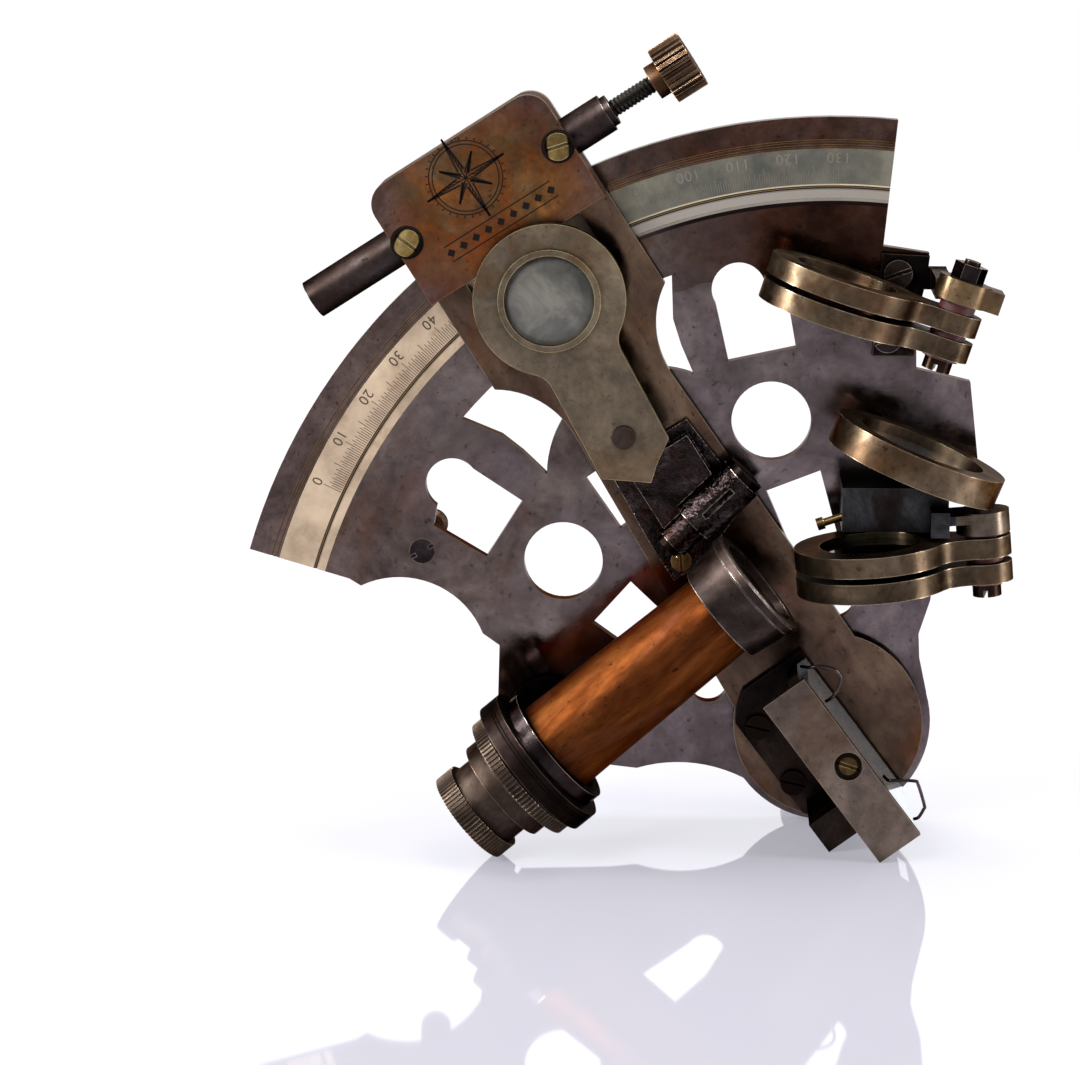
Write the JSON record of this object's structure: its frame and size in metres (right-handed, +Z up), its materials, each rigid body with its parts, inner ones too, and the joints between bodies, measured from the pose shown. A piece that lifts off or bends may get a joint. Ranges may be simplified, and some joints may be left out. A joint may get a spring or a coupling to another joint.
{
  "type": "sextant",
  "caption": "Small brass sextant with a pierced frame, silvered arc, swinging index arm with tangent screw and magnifier, telescope, hinged shades and two mirrors.",
  "frame": {"origin": "centre of the bounding box at its base, on the surface that the eyecup, the cap of the index mirror and the apex leg rest on", "axes": "+X to the right of the standing instrument seen from the front, +Y from the observer into the frame plate, towards the legs, +Z up. The frame plate lies in the XZ plane."},
  "size_m": [0.1246, 0.0582, 0.1309],
  "materials": {
    "frame_bronze": "dark bronze patina, polished by hand",
    "silvered": "silvered brass, yellowed",
    "bush_brass": "turned",
    "leg_bronze": "turned, dark lacquer",
    "blackened": "blackened, worn bright at the edges",
    "copper": "copper-red bronze, worn lacquer",
    "arm_bronze": "olive-brown bronze",
    "screw_brass": "aged",
    "optical_glass": "polished",
    "red_glass": "polished, tinted red",
    "green_glass": "polished, tinted green",
    "silvered_glass": "silvered",
    "red_fibre": "pressed red fibre",
    "spring_steel": "bare wire"
  },
  "bodies": {
    "frame": {"frame_plate": "frame_bronze", "scale_strip": "silvered", "pivot_bush": "bush_brass", "leg_left": "leg_bronze", "leg_right": "leg_bronze", "leg_apex": "leg_bronze", "leg_screws": "blackened", "scope_bracket": "blackened", "scope_bracket_screws": "screw_brass", "scope_collar": "frame_bronze", "scope_tube": "copper", "objective_cell": "arm_bronze", "objective_lens": "optical_glass", "horizon_cell": "arm_bronze", "horizon_mirror": "silvered_glass", "horizon_bracket": "blackened", "horizon_bracket_screws": "blackened", "mirror_adjuster": "screw_brass", "horizon_shade_bracket": "blackened", "horizon_shade_bracket_screws": "blackened", "horizon_shade_screw": "screw_brass", "horizon_shade_nut": "blackened", "horizon_shade_washers": "red_fibre", "index_shade_screw": "screw_brass", "index_shade_washers": "red_fibre"},
    "eyepiece": {"eyepiece_tube": "arm_bronze", "eyecup": "arm_bronze", "eye_lens": "optical_glass"},
    "lock_ring": {"lock_ring": "arm_bronze"},
    "horizon_shade_1": {"horizon_shade_upper": "arm_bronze", "horizon_shade_upper_glass": "red_glass"},
    "horizon_shade_2": {"horizon_shade_lower": "arm_bronze", "horizon_shade_lower_glass": "red_glass"},
    "index_shade_1": {"index_shade_upper": "arm_bronze", "index_shade_upper_glass": "green_glass"},
    "index_shade_2": {"index_shade_lower": "arm_bronze", "index_shade_lower_glass": "green_glass"},
    "index_arm": {"index_arm": "arm_bronze", "vernier_plate": "silvered", "pivot_shaft": "bush_brass", "pivot_nut": "blackened", "tangent_housing": "copper", "cover_plate": "copper", "cover_screws": "screw_brass", "spring_tube": "blackened", "guide_tube": "arm_bronze", "tension_spring": "spring_steel", "magnifier_bracket": "blackened", "magnifier_bracket_screws": "blackened", "mirror_holder": "arm_bronze", "index_mirror": "silvered_glass", "mirror_clips": "blackened", "mirror_screws": "screw_brass", "magnifier_rivet": "arm_bronze"},
    "magnifier": {"magnifier_plate": "arm_bronze", "magnifier_lens": "optical_glass"},
    "tangent_screw": {"tangent_screw": "screw_brass"},
    "clamp": {"clamp_slide": "leg_bronze"},
    "clamp_screw": {"clamp_screw": "screw_brass"}
  },
  "joints": [
    {"name": "index_arm_swing", "type": "hinge", "parent": "frame", "child": "index_arm", "pos_m": [0.0336, 0.00515, 0.01721], "axis": [0, -1, 0], "range_deg": [-14, 31]},
    {"name": "magnifier_swing", "type": "hinge", "parent": "index_arm", "child": "magnifier", "pos_m": [-0.0001, -0.00685, 0.06712], "axis": [0, -1, 0], "range_deg": [-10, 70]},
    {"name": "tangent_screw_turn", "type": "hinge", "parent": "index_arm", "child": "tangent_screw", "pos_m": [-0.02292, -0.0005, 0.10558], "axis": [0.8425, 0, 0.5388], "range_deg": [-720, 720]},
    {"name": "clamp_creep", "type": "hinge", "parent": "index_arm", "child": "clamp", "pos_m": [0.0336, 0.00515, 0.01721], "axis": [0, -1, 0], "range_deg": [-0.8, 0.8]},
    {"name": "clamp_screw_turn", "type": "hinge", "parent": "clamp", "child": "clamp_screw", "pos_m": [-0.01785, 0.01515, 0.09766], "axis": [0, 1, 0], "continuous": true},
    {"name": "horizon_shade_1_swing", "type": "hinge", "parent": "frame", "child": "horizon_shade_1", "pos_m": [0.0529, -0.00985, 0.09021], "axis": [0.309, 0, 0.9511], "range_deg": [0, 100]},
    {"name": "horizon_shade_2_swing", "type": "hinge", "parent": "frame", "child": "horizon_shade_2", "pos_m": [0.0529, -0.00985, 0.09021], "axis": [0.309, 0, 0.9511], "range_deg": [0, 100]},
    {"name": "index_shade_1_swing", "type": "hinge", "parent": "frame", "child": "index_shade_1", "pos_m": [0.0572, -0.00985, 0.05441], "axis": [-0.0872, 0, 0.9962], "range_deg": [0, 100]},
    {"name": "index_shade_2_swing", "type": "hinge", "parent": "frame", "child": "index_shade_2", "pos_m": [0.0572, -0.00985, 0.05441], "axis": [-0.0872, 0, 0.9962], "range_deg": [0, 100]},
    {"name": "eyepiece_draw", "type": "slide", "parent": "frame", "child": "eyepiece", "axis": [-0.7627, 0, -0.6468], "range_m": [-0.0001, 0.004]},
    {"name": "lock_ring_turn", "type": "hinge", "parent": "frame", "child": "lock_ring", "pos_m": [-0.0106, -0.01685, 0.01807], "axis": [0.7627, 0, 0.6468], "continuous": true}
  ],
  "couplings": [
    {"joint": "clamp_creep", "follows": "tangent_screw_turn", "ratio": 0.001062}
  ]
}
